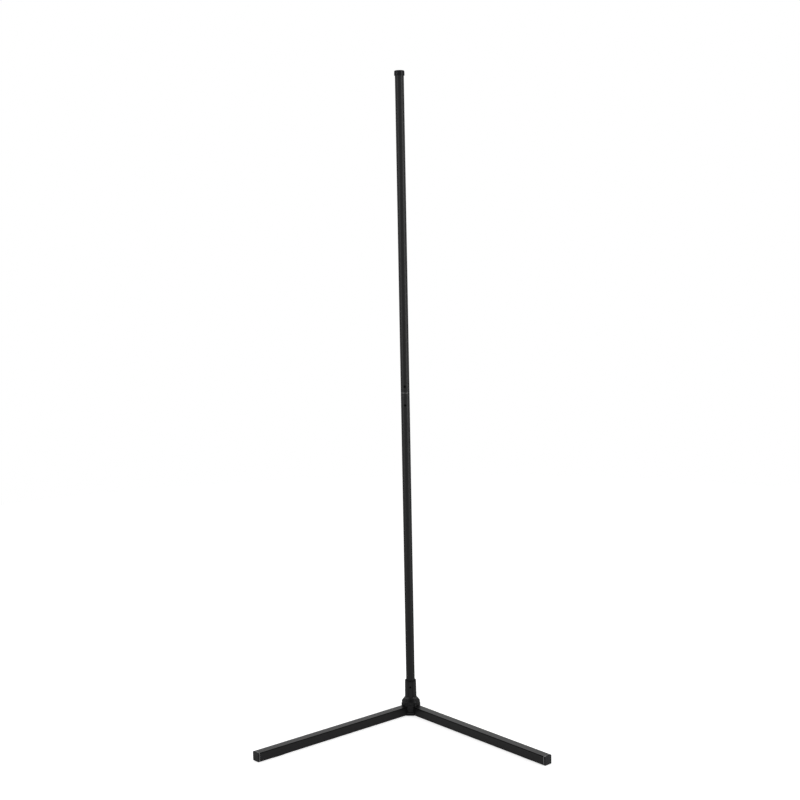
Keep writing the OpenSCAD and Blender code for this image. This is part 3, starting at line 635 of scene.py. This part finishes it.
def arc(radius, start_deg, end_deg, steps):
    """Points of an arc about the origin."""
    angles = [math.radians(start_deg + (end_deg - start_deg) * k / steps) for k in range(steps + 1)]
    return [Vector((radius * math.cos(a), radius * math.sin(a))) for a in angles]


def mirrored(points):
    """The same points on the other side of the Y axis, in the opposite order."""
    return [Vector((-p.x, p.y)) for p in reversed(points)]


a_square = [(0, 0, 1), (9, 0, 1), (9, 9, 1), (0, 9, 1)]
print("a square of 4 corners gets", len(rounded(a_square)), "points")

# %% Making a piece from a mesh
SHARP = math.radians(38)


def settled(holder):
    """The mesh of an object with its modifiers applied. The object itself is removed."""
    graph = bpy.context.evaluated_depsgraph_get()
    mesh = bpy.data.meshes.new_from_object(holder.evaluated_get(graph))
    mesh.name = holder.name
    bpy.data.objects.remove(holder)
    return mesh


def shown(name, data):
    """Links a new object to the scene."""
    holder = bpy.data.objects.new(name, data)
    scene.collection.objects.link(holder)
    return holder


def make_piece(name, mesh, slot, body, *nodes):
    """Gives a mesh its shading, finish and body, and lets it stand for the nodes.

    Weighted normals keep the large faces flat, so that only the rounded edges turn."""
    mesh.materials.clear()
    mesh.materials.append(FINISHES[slot])
    mesh.shade_smooth()
    mesh.set_sharp_from_angle(angle=SHARP)
    holder = shown(name, mesh)
    holder.modifiers.new("flat_faces", "WEIGHTED_NORMAL").keep_sharp = True
    piece = shown(name, settled(holder))
    piece.name = name
    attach(piece, body)
    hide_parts(*nodes)
    print(name, "has", len(piece.data.polygons), "faces")
    return piece


print("pieces are shaded sharp above", round(math.degrees(SHARP)), "degrees")

# %% Turned and drawn meshes
WELD = 0.002 * MM


def mesh_from(bm, name):
    """Welds a bmesh, turns its faces outwards and makes it a mesh."""
    bmesh.ops.remove_doubles(bm, verts=bm.verts, dist=WELD)
    bmesh.ops.recalc_face_normals(bm, faces=bm.faces)
    mesh = bpy.data.meshes.new(name)
    bm.to_mesh(mesh)
    bm.free()
    return mesh


def turned(name, profile, closed=True, sides=144):
    """Spins a profile of (radius, height) points round the vertical axis, as a lathe would."""
    bm = bmesh.new()
    rings = []
    for k in range(sides):
        a = math.tau * k / sides
        ring = [(p.x * math.cos(a) * MM, p.x * math.sin(a) * MM, p.y * MM) for p in profile]
        rings.append([bm.verts.new(place) for place in ring])
    for k in range(sides):
        here, there = rings[k], rings[(k + 1) % sides]
        for i in range(len(profile) if closed else len(profile) - 1):
            j = (i + 1) % len(profile)
            bm.faces.new([here[i], there[i], there[j], here[j]])
    return mesh_from(bm, name)


def drawn(name, outlines, length, edge, loops_at=()):
    """A long piece of one section, from z = 0 up: a filled 2-D curve with its ends rounded.

    Extra loops round the piece keep the faces near a hole short."""
    curve = bpy.data.curves.new(name, "CURVE")
    curve.dimensions = "2D"
    curve.fill_mode = "BOTH"
    for outline in outlines:
        spline = curve.splines.new("POLY")
        spline.points.add(len(outline) - 1)
        spline.use_cyclic_u = True
        for point, p in zip(spline.points, outline):
            point.co = (p.x * MM, p.y * MM, 0, 1)
    curve.extrude = (length / 2 - edge) * MM
    curve.bevel_depth = edge * MM
    curve.bevel_resolution = 2
    curve.offset = -edge * MM
    mesh = settled(shown(name, curve))
    bpy.data.curves.remove(curve)
    bm = bmesh.new()
    bm.from_mesh(mesh)
    bpy.data.meshes.remove(mesh)
    bmesh.ops.translate(bm, verts=bm.verts, vec=(0, 0, length / 2 * MM))
    bmesh.ops.remove_doubles(bm, verts=bm.verts, dist=WELD)
    for z in loops_at:
        whole = bm.verts[:] + bm.edges[:] + bm.faces[:]
        bmesh.ops.bisect_plane(bm, geom=whole, plane_co=(0, 0, z * MM), plane_no=(0, 0, 1))
    return mesh_from(bm, name)


print("ways to make a mesh: turned and drawn")

# %% Meshes combined and put in place
BACK = (0, -1, 0)
LIGHT_SIDE = (0, 1, 0)
UP = (0, 0, 1)
RIGHT = (1, 0, 0)


def combined(mesh, operation, *others):
    """Cuts other closed meshes out of a mesh (DIFFERENCE), or grows them on (UNION)."""
    for other in others:
        body, helper = shown(mesh.name, mesh), shown("helper", other)
        modifier = body.modifiers.new("combine", "BOOLEAN")
        modifier.operation = operation
        modifier.solver = "EXACT"
        modifier.object = helper
        mesh = settled(body)
        bpy.data.objects.remove(helper)
    return mesh


def placed(mesh, origin, x_axis, z_axis):
    """Turns a mesh until its X and Z run along two directions, and moves it to a place in mm."""
    x_axis, z_axis = Vector(x_axis), Vector(z_axis)
    turn = Matrix((x_axis, z_axis.cross(x_axis), z_axis)).transposed().to_4x4()
    mesh.transform(Matrix.Translation(Vector(origin) * MM) @ turn)
    return mesh


def lifted(mesh, z):
    """Moves a mesh straight up, in mm."""
    mesh.transform(Matrix.Translation((0, 0, z * MM)))
    return mesh


def merged(name, *meshes):
    """Puts meshes that don't touch into one."""
    bm = bmesh.new()
    for mesh in meshes:
        bm.from_mesh(mesh)
    return mesh_from(bm, name)


def cutter(profile, origin=(0, 0, 0), points_to=UP, x_axis=None, sides=96):
    """A turned shape to cut with, whose own Z points in a direction."""
    shape = turned("cutter", [Vector(p) for p in profile], closed=False, sides=sides)
    x_axis = x_axis or Vector(points_to).orthogonal().normalized()
    return placed(shape, origin, x_axis, points_to)


def drilled(radius, start, surface, rim, z):
    """A cutter for a hole into the back of the pole at height z, whose rim has been broken."""
    wide, end = radius + 2 * rim, surface + rim
    profile = [(0, start), (radius, start), (radius, surface - rim), (wide, end), (0, end)]
    return cutter(profile, (0, 0, z), BACK, RIGHT, 48)


print("the back of the pole looks along", BACK)

# %% [markdown]
# ## The pole
# ### The channels
# Each half of the pole is an aluminium extrusion: a round tube, open on the light's side, with a
# web inside that carries the light strip. A saw leaves the ends square and a brush breaks their
# edges, so the section is drawn as a 2-D curve with a hole in it and pushed out with a small
# rounded edge. Two such edges meet at the seam, where they catch the light.

# %% Measures of the pole
POLE_R = 9.5
BORE_R = 7.9
WEB_BACK, WEB_FRONT = 1.0, 2.4
EDGE_Y = 4.6
SLOT_HALF = 7.4
LOWER_Z, SEAM_Z, UPPER_Z, POLE_TOP_Z = 37.5, 717.5, 717.7, 1397.7
SAW_EDGE = 0.25


def angle_at_height(radius, y):
    """The angle, in degrees, at which a circle about the origin reaches this height."""
    return math.degrees(math.asin(y / radius))


edge_deg = angle_at_height(POLE_R, EDGE_Y)
slot_deg = math.degrees(math.acos(SLOT_HALF / BORE_R))
web_deg = angle_at_height(BORE_R, WEB_FRONT)
channel_outer = arc(POLE_R, 180 - edge_deg, 360 + edge_deg, 60)
channel_outer += [Vector((SLOT_HALF, EDGE_Y))] + arc(BORE_R, slot_deg, web_deg, 2)
channel_outer += arc(BORE_R, 180 - web_deg, 180 - slot_deg, 2) + [Vector((-SLOT_HALF, EDGE_Y))]
back_deg = angle_at_height(BORE_R, WEB_BACK)
channel_bore = arc(BORE_R, 180 - back_deg, 360 + back_deg, 48)
print("points in the channel's section:", len(channel_outer), "+", len(channel_bore))

# %% Both channels
HOLE_R, HOLE_FLOOR, HOLE_RIM = 2.6, 5.0, 0.10
HOLE_LOOPS = 5.0
CHANNEL_LEN = SEAM_Z - LOWER_Z

for name, z, hole_z in (
    ("lower_channel", LOWER_Z, LOWER_HOLE_Z),
    ("upper_channel", UPPER_Z, UPPER_HOLE_Z),
):
    loops = (hole_z - z - HOLE_LOOPS, hole_z - z + HOLE_LOOPS)
    bar = drawn(name, [channel_outer, channel_bore], CHANNEL_LEN, SAW_EDGE, loops)
    hole = drilled(HOLE_R, HOLE_FLOOR, POLE_R, HOLE_RIM, hole_z)
    channel = combined(lifted(bar, z), "DIFFERENCE", hole)
    make_piece(name + "_drawn", channel, "channel_black", "pole", name)

# %% [markdown]
# ### The diffusers
# The diffuser is a milky strip whose dome completes the round of the pole, a hair lower than the
# channel's edges. Two legs clip it into the slot. It is extruded plastic, so it is drawn in the
# same way as the channels, and from the same circle.

# %% Both diffusers
LENS_HALF, LENS_FOOT_Y = 7.9, 4.65
CLIP_HALF, CLIP_INNER, CLIP_FOOT_Y = 7.3, 6.3, 2.8
DOME_R = 8.3
LOWER_LENS_Z = 57.55
LENS_EDGE = 0.15

lens_deg = math.degrees(math.acos(LENS_HALF / POLE_R))
dome_deg = math.degrees(math.acos(CLIP_INNER / DOME_R))
clip = [(CLIP_HALF, CLIP_FOOT_Y), (CLIP_HALF, LENS_FOOT_Y), (LENS_HALF, LENS_FOOT_Y)]
clip = [Vector(p) for p in clip]
lens_outline = clip + arc(POLE_R, lens_deg, 180 - lens_deg, 30) + mirrored(clip)
lens_outline += [Vector((-CLIP_INNER, CLIP_FOOT_Y))] + arc(DOME_R, 180 - dome_deg, dome_deg, 26)
lens_outline += [Vector((CLIP_INNER, CLIP_FOOT_Y))]

for name, slot, z, top in (
    ("lower_diffuser", "lower_lens", LOWER_LENS_Z, SEAM_Z),
    ("upper_diffuser", "upper_lens", UPPER_Z, POLE_TOP_Z),
):
    strip = lifted(drawn(name, [lens_outline], top - z, LENS_EDGE), z)
    make_piece(name + "_milky", strip, slot, "pole", name)

# %% [markdown]
# ### The top cap
# The cap is moulded plastic and a little wider than the pole. Its wall leans in by a third of a
# millimetre, so that it leaves the mould, and its upper edge is rounded into a slightly domed top.
# All of that is one profile, turned. Its tongue, which plugs into the channel, is drawn and grown
# on.

# %% Top cap
CAP_BASE_Z, CAP_TOP_Z = 1389.0, 1400.0
CAP_RIM_R, CAP_CROWN_R, CAP_BORE_R = 11.15, 10.85, 9.55
CAP_ROUND, CAP_DOME, DOME_STEPS = 2.2, 0.5, 10
TONGUE_R, TONGUE_Z, TONGUE_EDGE = 7.8, 1385.75, 0.2
TONGUE_FACE_Y, TONGUE_OVERLAP = 0.9, 0.3

flat_r, crown_z = CAP_CROWN_R - CAP_ROUND, CAP_TOP_Z - CAP_DOME - CAP_ROUND
shares = [k / DOME_STEPS for k in range(DOME_STEPS + 1)]
dome = [Vector((flat_r * share, CAP_TOP_Z - CAP_DOME * share**2)) for share in shares]
shoulder = [p + Vector((flat_r, crown_z)) for p in arc(CAP_ROUND, 80, 0, 12)]
wall = [
    (CAP_CROWN_R, crown_z, 0),
    (CAP_RIM_R, CAP_BASE_Z + 0.6, 0.3),
    (CAP_RIM_R - 0.3, CAP_BASE_Z, 0.12),
    (CAP_BORE_R, CAP_BASE_Z, 0.2),
    (CAP_BORE_R, POLE_TOP_Z + 0.05, 0),
    (0, POLE_TOP_Z + 0.05, 0),
]
cap_profile = dome + shoulder + rounded(wall, closed=False)[1:]
tongue_deg = angle_at_height(TONGUE_R, TONGUE_FACE_Y)
tongue_outline = arc(TONGUE_R, 180 - tongue_deg, 360 + tongue_deg, 48)
tongue_len = POLE_TOP_Z + TONGUE_OVERLAP - TONGUE_Z
tongue = lifted(drawn("tongue", [tongue_outline], tongue_len, TONGUE_EDGE), TONGUE_Z)
cap = combined(turned("cap", cap_profile, closed=False, sides=192), "UNION", tongue)
make_piece("top_cap_moulded", cap, "moulded_black", "pole", "top_cap")

# %% [markdown]
# ## The base
# ### The neck and its collar
# The neck, its sloping shoulder and the cup under it are one casting. A casting has no sharp
# corner: each is rounded in the profile before it is turned. The collar is the top of a plastic
# bush in which the pole turns. Its funnel-shaped mouth shows as a dark ring round the pole.

# %% Neck and collar
GRUB_Z, GRUB_FLOOR, GRUB_RIM = 62.6, 9.0, 0.2
neck_profile = rounded(
    [
        (12.9, 24.25, 0),
        (20.1, 24.25, 0.25),
        (20.1, 29.8, 1.5),
        (12.85, 38.8, 2.6),
        (12.4, 74.05, 0.15),
        (10.95, 74.05, 0.15),
        (10.95, 35.95, 0),
        (5.0, 35.95, 0.2),
        (5.0, 30.95, 0.2),
        (12.9, 30.95, 0.6),
    ],
    steps=8,
)

neck_hole = drilled(2.05, GRUB_FLOOR, 12.55, GRUB_RIM, GRUB_Z)
neck = combined(turned("neck", neck_profile), "DIFFERENCE", neck_hole)
make_piece("neck_cast", neck, "cast_black", "base", "neck_socket")

bush_profile = rounded(
    [
        (9.55, 36.0, 0.2),
        (10.85, 36.0, 0.2),
        (10.85, 74.1, 0),
        (12.55, 74.1, 0.08),
        (12.55, 76.3, 0.3),
        (12.1, 76.3, 0.1),
        (9.55, 74.5, 0.1),
    ],
    steps=4,
)
bush_hole = drilled(2.2, GRUB_FLOOR, 12.9, GRUB_RIM, GRUB_Z)
bush = combined(turned("bush", bush_profile), "DIFFERENCE", bush_hole)
make_piece("neck_collar", bush, "collar_black", "base", "neck_bush")

# %% [markdown]
# ### The hub
# The hub is a round casting with two flats, on which the leg tubes butt, and a square spigot on
# each that the tube slides over. The round is turned with its soft upper edge, the room for each
# tube is cut out, and the spigots grow back on. The jack's seat and the wiring space are cut in the
# same way.

# %% Directions of the legs
LEG_SIZE, LEG_WALL, LEG_CORNER = 19.0, 1.2, 1.5
LEG_START, LEG_END = 18.73, 414.0
FLOOR_GAP, TUBE_MID = 1.5, 11.0
LEGS = {}
for side, heading in (("left", -135), ("right", -45)):
    out = Vector((math.cos(math.radians(heading)), math.sin(math.radians(heading)), 0))
    LEGS[side] = (out, Vector(UP).cross(out))


def along_leg(mesh, side, start, z=TUBE_MID):
    """Lays a mesh that was made along +Z down along a leg, with its own +Y up."""
    out, across = LEGS[side]
    return placed(mesh, out * start + Vector((0, 0, z)), across, out)


def square(width, radius, steps=6):
    """The outline of a square with rounded corners."""
    half = width / 2
    corners = [(half, half), (-half, half), (-half, -half), (half, -half)]
    return rounded([(x, y, radius) for x, y in corners], steps)


print("legs:", {side: tuple(round(c, 3) for c in out) for side, (out, _) in LEGS.items()})

# %% Hub
HUB_R, HUB_BOTTOM_Z, HUB_TOP_Z = 21.0, 7.85, 24.2
CAVITY_R, CAVITY_Z = 11.5, 9.8
SPIGOT_W, SPIGOT_END, SPIGOT_ROOT = 16.4, 63.73, 8.0
SPIGOT_CORNER, SPIGOT_EDGE = 0.6, 0.5
ROOM_W, ROOM_LEN, ROOM_CORNER, ROOM_EDGE = LEG_SIZE + 0.2, 30, 1.6, 0.1
JACK_Z = 16.0
LEG_SCREWS_AT = (13, 33)
SCREW_R, SCREW_HEAD_R, SCREW_HEAD_T, SCREW_REACH = 2.0, 3.7, 1.7, 12.0
SCREW_Z = FLOOR_GAP + 0.1
HUB_HOLE_ROOM, TUBE_HOLE_ROOM = 0.05, 0.1


def leg_screw_holes(side, grow):
    """Countersunk holes for the two screws under a leg."""
    out, _ = LEGS[side]
    head, shank, end = SCREW_HEAD_R + grow, SCREW_R + grow, SCREW_REACH + grow
    profile = [(0, -2), (head, -2), (head, 0), (shank, SCREW_HEAD_T), (shank, end), (0, end)]
    places = [out * (LEG_START + at) + Vector((0, 0, SCREW_Z)) for at in LEG_SCREWS_AT]
    return [cutter(profile, place) for place in places]


hub_profile = [
    (0, HUB_BOTTOM_Z, 0),
    (HUB_R, HUB_BOTTOM_Z, 0.3),
    (HUB_R, HUB_TOP_Z, 0.8),
    (0, HUB_TOP_Z, 0),
]
hub = turned("hub", rounded(hub_profile, steps=6, closed=False), closed=False)
for side in LEGS:
    room = drawn("room", [square(ROOM_W, ROOM_CORNER)], ROOM_LEN, ROOM_EDGE)
    hub = combined(hub, "DIFFERENCE", along_leg(room, side, LEG_START))
spigot_section = [square(SPIGOT_W, SPIGOT_CORNER)]
spigot_len = SPIGOT_END - LEG_START + SPIGOT_ROOT
for side in LEGS:
    spigot = drawn("spigot", spigot_section, spigot_len, SPIGOT_EDGE)
    hub = combined(hub, "UNION", along_leg(spigot, side, LEG_START - SPIGOT_ROOT))
    hub = combined(hub, "DIFFERENCE", *leg_screw_holes(side, HUB_HOLE_ROOM))
wiring_space = cutter([(0, CAVITY_Z), (CAVITY_R, CAVITY_Z), (CAVITY_R, 30), (0, 30)])
seat_profile = [(0, 8), (4.7, 8), (4.7, 20), (6.0, 20), (6.0, 25), (0, 25)]
jack_seat = cutter(seat_profile, (0, 0, JACK_Z), LIGHT_SIDE)
hub = combined(hub, "DIFFERENCE", wiring_space, jack_seat)
make_piece("hub_cast", hub, "cast_black", "base", "hub_base")

# %% [markdown]
# ### The cover under the hub
# A moulded plate closes the hub from below and fills the corner between the legs up to a straight
# front edge, which shows as a dark band under the hub. Its outline is the hub's circle, with a flat
# for each leg and two lines to the front edge. It is drawn upwards, and its screws sit in
# countersunk holes.

# %% Base cover
COVER_H, COVER_EDGE = 6.3, 0.5
ROUND_FROM_DEG, ROUND_TO_DEG = -18.1, 198.1
FRONT_CORNERS = [
    (-6.456, -20.03, 0.4),
    (-9.824, -23.4, 0.9),
    (9.824, -23.4, 0.9),
    (6.456, -20.03, 0.4),
]
COVER_SCREWS_AT = 16.8
COVER_HOLE = [(0, -2), (2.6, -2), (2.4, 0.2), (2.4, 2.3), (1.3, 2.3), (1.3, 9), (0, 9)]

cover_outline = arc(HUB_R, ROUND_FROM_DEG, ROUND_TO_DEG, 96) + rounded(FRONT_CORNERS)
cover = lifted(drawn("cover", [cover_outline], COVER_H, COVER_EDGE), FLOOR_GAP)
for x, y in ((COVER_SCREWS_AT, 0), (0, COVER_SCREWS_AT), (-COVER_SCREWS_AT, 0)):
    cover = combined(cover, "DIFFERENCE", cutter(COVER_HOLE, (x, y, FLOOR_GAP)))
make_piece("base_cover_moulded", cover, "cover_black", "base", "base_cover")

# %% [markdown]
# ## The legs
# ### Tubes
# Square steel tube is rolled from sheet, so its corners are round, outside and inside. The cut end
# has a fine burr-free edge, which shows as a bright line against the plug. The countersunk screws
# come from below, where nobody sees them.

# %% Leg tubes
TUBE_START, TUBE_DEBURR = 18.83, 0.2
tube_len = LEG_END - TUBE_START
# One loop on each side of the two screw holes, and one close to the cut end.
tube_loops = (8, 38, tube_len - 2)
tube_section = [square(LEG_SIZE, LEG_CORNER), square(LEG_SIZE - 2 * LEG_WALL, 0.3, 2)]
for side in LEGS:
    tube = drawn("tube", tube_section, tube_len, TUBE_DEBURR, tube_loops)
    tube = along_leg(tube, side, TUBE_START)
    tube = combined(tube, "DIFFERENCE", *leg_screw_holes(side, TUBE_HOLE_ROOM))
    make_piece(side + "_leg_square_tube", tube, "tube_black", "base", side + "_leg_tube")

# %% [markdown]
# ### End plugs
# A moulded plug closes each tube. Its flange is as large as the tube, with a fine bevel where the
# two meet, so a dark line stays between them; the plug's finish also paints the flange's rim darker
# and duller there, as painted shade for the gap. The flange's outer edges roll over softly into the
# face. It is lofted: a stack of rounded squares, each a little smaller and a little further out.

# %% End plugs
FLANGE_START, FLANGE_T = 414.05, 4.0
FLANGE_BEVEL, FLANGE_BEVEL_T = 0.35, 0.5
INSERT_W, INSERT_WALL, INSERT_LEN = 16.4, 1.5, 16.0
INSERT_EDGE, INSERT_OVERLAP = 0.1, 0.3


def lofted(name, rings):
    """Joins outlines of equal length, each at its own height, and closes both ends."""
    bm = bmesh.new()
    loops = [[bm.verts.new((p.x * MM, p.y * MM, z * MM)) for p in outline] for outline, z in rings]
    for low, high in zip(loops, loops[1:]):
        for i in range(len(low)):
            j = (i + 1) % len(low)
            bm.faces.new([low[i], low[j], high[j], high[i]])
    bm.faces.new(loops[0])
    bm.faces.new(loops[-1])
    return mesh_from(bm, name)


flange_rings = [(square(LEG_SIZE - 2 * FLANGE_BEVEL, LEG_CORNER - FLANGE_BEVEL), 0)]
flange_rings += [(square(LEG_SIZE, LEG_CORNER), FLANGE_BEVEL_T)]
for degrees in range(0, 91, 15):
    a = math.radians(degrees)
    inset = LEG_CORNER * (1 - math.cos(a))
    width, radius = LEG_SIZE - 2 * inset, max(LEG_CORNER - inset, 0.05)
    flange_rings.append((square(width, radius), FLANGE_T - LEG_CORNER * (1 - math.sin(a))))

insert_section = [square(INSERT_W, 0.6), square(INSERT_W - 2 * INSERT_WALL, 0.4)]
insert_len = INSERT_LEN + INSERT_OVERLAP
for side in LEGS:
    flange = lofted("flange", flange_rings)
    insert = lifted(drawn("insert", insert_section, insert_len, INSERT_EDGE), -INSERT_LEN)
    plug = along_leg(combined(flange, "UNION", insert), side, FLANGE_START)
    make_piece(side + "_end_plug", plug, "moulded_black", "base", side + "_leg_plug")

# %% [markdown]
# ## Pads and inlet
# The lamp stands on a round rubber pad under the hub and a long one under each leg's end. At the
# back of the hub is the inlet: a flanged jack with a brass pin in its hole, where the supply plugs
# in.

# %% Pads
PAD_T, PAD_EDGE = 1.475, 0.4
PAD_R = 13.0
LONG_PAD_HALF, LONG_PAD_LEN, LONG_PAD_START = 6.5, 30, 379

pad_profile = [(0, 0, 0), (PAD_R, 0, PAD_EDGE), (PAD_R, PAD_T, 0.2), (0, PAD_T, 0)]
round_pad = turned("pad", rounded(pad_profile, steps=5, closed=False), closed=False)
make_piece("hub_round_pad", round_pad, "pad_rubber", "base", "hub_pad")

half, length = LONG_PAD_HALF, LONG_PAD_LEN
pad_outline = rounded([(-half, 0, 1), (half, 0, 1), (half, length, 1), (-half, length, 1)])
pads = []
for out, across in LEGS.values():
    pad = drawn("pad", [pad_outline], PAD_T, PAD_EDGE)
    pads.append(placed(pad, out * LONG_PAD_START, across, UP))
make_piece("leg_long_pads", merged("pads", *pads), "pad_rubber", "base", "leg_pads")

# %% Inlet jack
jack_profile = rounded(
    [
        (0.85, 9.05, 0),
        (4.6, 9.05, 0.4),
        (4.6, 20.05, 0),
        (5.8, 20.05, 0.15),
        (5.8, 21.45, 0.45),
        (2.85, 21.45, 0.35),
        (2.85, 11.05, 0.1),
        (0.85, 11.05, 0),
    ],
    steps=5,
)
jack = placed(turned("jack", jack_profile), (0, 0, JACK_Z), RIGHT, LIGHT_SIDE)
make_piece("inlet_jack_moulded", jack, "moulded_black", "base", "inlet_jack")

# %% [markdown]
# ## Done
# The visible lamp should keep the construction's size to within a millimetre, because looks don't
# change a size. The last step sets the plain Standard view transform.

# %% Set the view transform
scene.view_settings.view_transform = "Standard"
